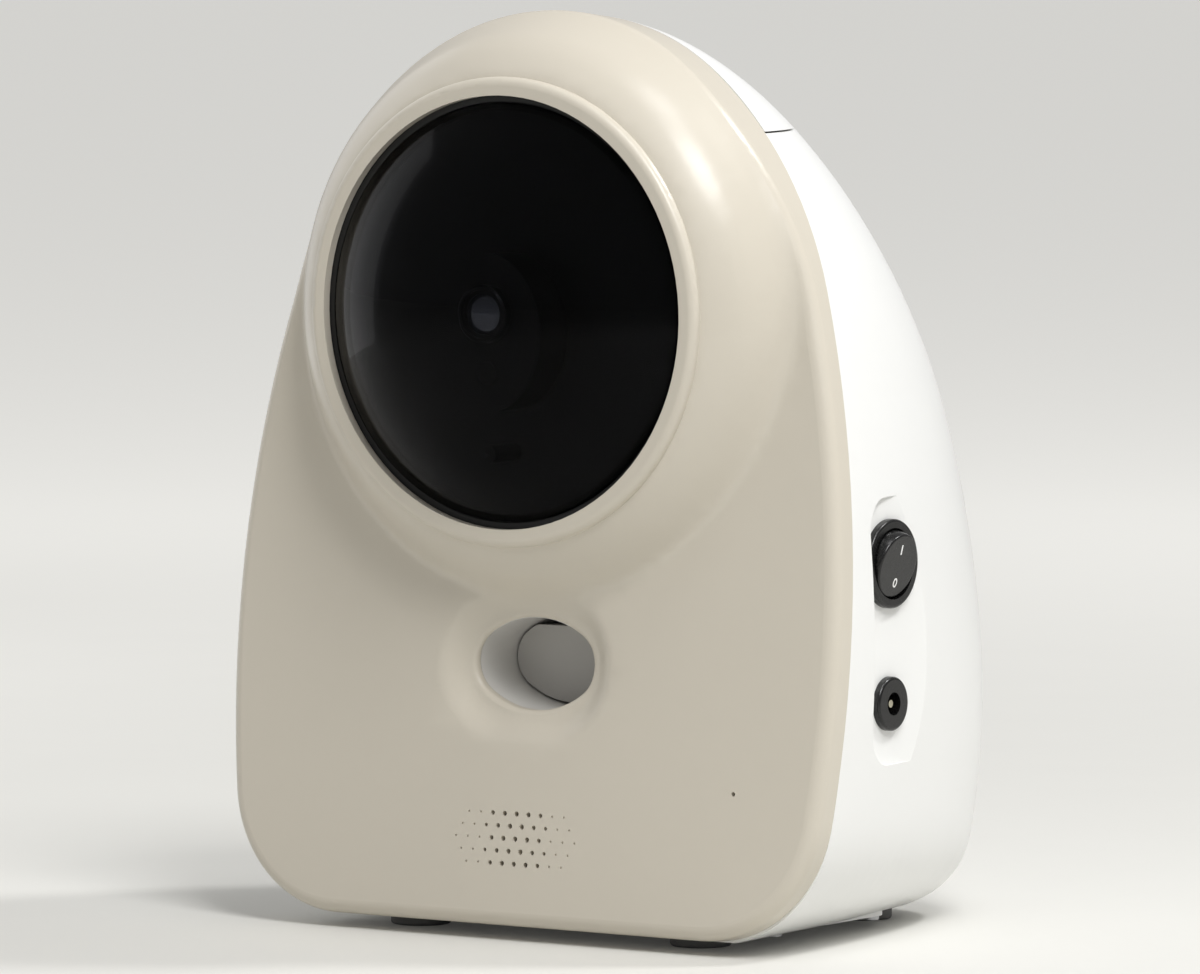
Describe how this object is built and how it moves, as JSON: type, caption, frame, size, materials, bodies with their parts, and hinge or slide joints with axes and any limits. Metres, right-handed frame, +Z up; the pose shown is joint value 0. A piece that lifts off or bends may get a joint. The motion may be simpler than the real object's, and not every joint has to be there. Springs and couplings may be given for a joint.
{
  "type": "treat tossing pet camera",
  "caption": "Arch-shaped pet camera with domed window, treat chute, speaker grille and power rocker; opening hopper lid, treat wheel and spring launcher inside.",
  "frame": {"origin": "on the floor under the middle of the whole camera", "axes": "+X to the right seen from the front, -Y towards the front (window side), +Z up"},
  "size_m": [0.19, 0.1612, 0.2409],
  "materials": {
    "cream_abs": "satin moulded ABS, fine texture",
    "white_abs": "satin moulded ABS",
    "smoked_acrylic": "polished smoked acrylic",
    "optical_glass": "coated",
    "black_plastic": "moulded, fine grain",
    "black_gloss": "moulded, satin gloss",
    "grey_plastic": "moulded acetal",
    "dark_grey_plastic": "moulded glass-filled nylon",
    "rubber_black": "matt",
    "rubber_grey": "matt",
    "steel": "zinc plated",
    "contact_metal": "tinned brass",
    "board_green": "solder-masked glass-epoxy",
    "cone_paper": "treated paper",
    "led_lens": "clear diffusing"
  },
  "bodies": {
    "housing": {"barrel_cap": "grey_plastic", "base_plate": "white_abs", "base_screws": "steel", "board_capacitor": "black_gloss", "board_screws": "steel", "board_sockets": "led_lens", "board_spacers": "contact_metal", "camera_basket": "black_plastic", "carrier_screws": "steel", "dome_window": "smoked_acrylic", "foot_front_left": "rubber_grey", "foot_front_right": "rubber_grey", "foot_rear_left": "rubber_grey", "foot_rear_right": "rubber_grey", "frame_screws": "steel", "front_shell": "cream_abs", "hopper": "grey_plastic", "image_sensor_board": "board_green", "jack_body": "black_gloss", "jack_nut": "steel", "jack_pin": "contact_metal", "launch_barrel": "grey_plastic", "launch_motor": "steel", "launch_spring": "steel", "lens_barrel": "black_plastic", "lens_glass": "optical_glass", "lid_hinge_pin": "steel", "light_sensor": "black_gloss", "main_board": "board_green", "mechanism_frame": "dark_grey_plastic", "microphone": "steel", "processor_shield": "steel", "radio_module": "steel", "rear_housing": "white_abs", "shell_screws": "steel", "speaker_basket": "steel", "speaker_cone": "cone_paper", "speaker_magnet": "dark_grey_plastic", "status_light": "led_lens", "switch_body": "black_gloss", "switch_terminals": "contact_metal", "wheel_casing": "grey_plastic", "wheel_motor": "steel", "window_gasket": "rubber_black"},
    "lid": {"lid": "white_abs", "lid_liner": "white_abs", "lid_seal": "rubber_grey"},
    "rocker": {"rocker": "black_gloss"},
    "wheel": {"treat_wheel": "white_abs", "wheel_gear": "dark_grey_plastic", "wheel_shaft": "steel"},
    "wheel_pinion": {"wheel_pinion": "dark_grey_plastic"},
    "launch_gear": {"launch_gear": "dark_grey_plastic"},
    "plunger": {"launch_plunger": "grey_plastic"}
  },
  "joints": [
    {"name": "lid_hinge", "type": "hinge", "parent": "housing", "child": "lid", "pos_m": [0, 0.03044, 0.21], "axis": [-1, 0, 0], "range_deg": [0, 100]},
    {"name": "power_rocker", "type": "hinge", "parent": "housing", "child": "rocker", "pos_m": [0.0902, -0.01634, 0.0997], "axis": [0, -1, 0], "range_deg": [0, 28]},
    {"name": "wheel_spin", "type": "hinge", "parent": "housing", "child": "wheel", "pos_m": [0, 0.00166, 0.124], "axis": [1, 0, 0], "continuous": true},
    {"name": "pinion_spin", "type": "hinge", "parent": "housing", "child": "wheel_pinion", "pos_m": [0, 0.02807, 0.13361], "axis": [1, 0, 0], "continuous": true},
    {"name": "launch_wind", "type": "hinge", "parent": "housing", "child": "launch_gear", "pos_m": [0, 0.00966, 0.0442], "axis": [-1, 0, 0], "range_deg": [0, 229.2]},
    {"name": "plunger_slide", "type": "slide", "parent": "housing", "child": "plunger", "axis": [0, 1, 0], "range_m": [0, 0.032], "deforming": ["launch_spring"]}
  ],
  "couplings": [
    {"joint": "pinion_spin", "follows": "wheel_spin", "ratio": -3},
    {"joint": "launch_wind", "follows": "plunger_slide", "rad_per_m": 125}
  ]
}
